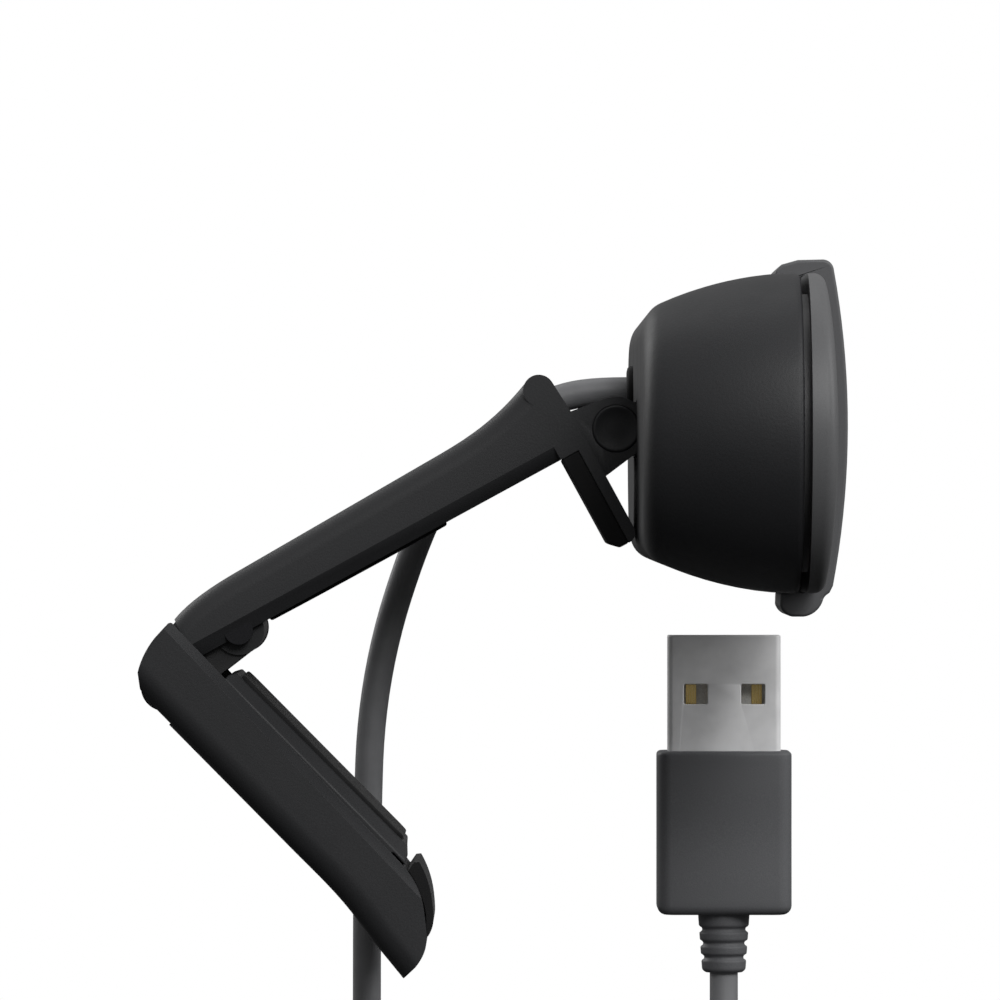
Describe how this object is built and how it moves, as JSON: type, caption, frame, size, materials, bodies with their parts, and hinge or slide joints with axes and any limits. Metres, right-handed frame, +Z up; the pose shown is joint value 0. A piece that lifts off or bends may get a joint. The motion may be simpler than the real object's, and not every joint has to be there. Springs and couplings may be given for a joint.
{
  "type": "clip-on webcam",
  "caption": "Wide pill-shaped webcam head that tilts on a folding monitor clip, with a sliding lens shutter, a round lead and a USB plug.",
  "frame": {"origin": "on the clip's seat, the rubber face that rests on a screen's top edge, under the middle of the upper arm", "axes": "+X the way the lens looks, +Y across the head to the side the lead leaves from, +Z up; the seat slopes down to the back because the head is level and tilted down onto its lip"},
  "size_m": [0.0728, 0.1188, 0.1011],
  "materials": {
    "shell": "charcoal moulded plastic, fine spark-eroded grain",
    "bezel": "mid grey moulded plastic, satin",
    "slider": "mid grey moulded plastic, satin",
    "clip": "dark grey moulded plastic, fine grain",
    "hinge": "black glass-filled plastic",
    "pad": "black soft rubber, matt",
    "pin": "dark acetal",
    "steel": "bright zinc plate",
    "dark_steel": "black oxide",
    "cable": "light grey thermoplastic jacket, satin",
    "tie": "black soft band",
    "overmould": "dark grey soft overmould, satin",
    "usb_metal": "nickel plate, lightly brushed",
    "usb_tongue": "white moulded insulator",
    "gold": "gold flash",
    "lens_black": "gloss black",
    "glass": "clear with a faint blue coating",
    "board": "green solder mask",
    "chip": "black epoxy",
    "light_guide": "frosted clear acrylic"
  },
  "bodies": {
    "clip": {"clip_arm": "clip", "arm_underplate": "hinge", "underplate_screws": "steel", "arm_pad": "pad", "lip_pad": "pad", "tilt_pin": "pin", "tilt_washers": "pin", "elbow_pin": "dark_steel", "elbow_washers": "pin", "lead_flex": "cable", "lead_drop": "cable", "lead_coil": "cable", "lead_rise": "cable", "lead_tie": "tie", "plug_relief": "overmould", "plug_overmould": "overmould", "plug_shell": "usb_metal", "plug_tongue": "usb_tongue", "plug_contacts": "gold"},
    "head": {"rear_shell": "shell", "front_cover": "bezel", "lens_trim": "lens_black", "lens_window": "glass", "image_sensor": "chip", "lens_holder": "lens_black", "ir_filter": "glass", "lens_barrel": "lens_black", "lens_elements": "glass", "main_board": "board", "board_screws": "steel", "video_chip": "chip", "board_chips": "chip", "lead_connector": "usb_tongue", "inner_lead": "cable", "status_led": "light_guide", "led_light_guide": "light_guide", "microphone": "usb_metal", "microphone_sleeve": "pad", "lead_grommet": "pad", "tilt_knuckle": "hinge", "knuckle_screws": "steel"},
    "shutter": {"shutter_slider": "slider"},
    "link": {"clip_link": "hinge"},
    "foot": {"foot_shell": "clip", "foot_grip": "clip", "foot_pad": "pad", "foot_screws": "steel", "foot_tip_pad": "pad", "heel_pin": "dark_steel", "heel_washers": "pin"}
  },
  "joints": [
    {"name": "head_tilt", "type": "hinge", "parent": "clip", "child": "head", "pos_m": [0.02428, 0, 0.01375], "axis": [0, -1, 0], "range_deg": [0, 52], "deforming": ["lead_flex"]},
    {"name": "shutter_slide", "type": "slide", "parent": "head", "child": "shutter", "axis": [0, 1, 0], "range_m": [0, 0.0155]},
    {"name": "elbow_fold", "type": "hinge", "parent": "clip", "child": "link", "pos_m": [-0.01481, 0, -0.0071], "axis": [0, -1, 0], "range_deg": [-5, 72]},
    {"name": "heel_fold", "type": "hinge", "parent": "link", "child": "foot", "pos_m": [-0.02239, 0, -0.01299], "axis": [0, 1, 0], "range_deg": [0, 85]}
  ]
}
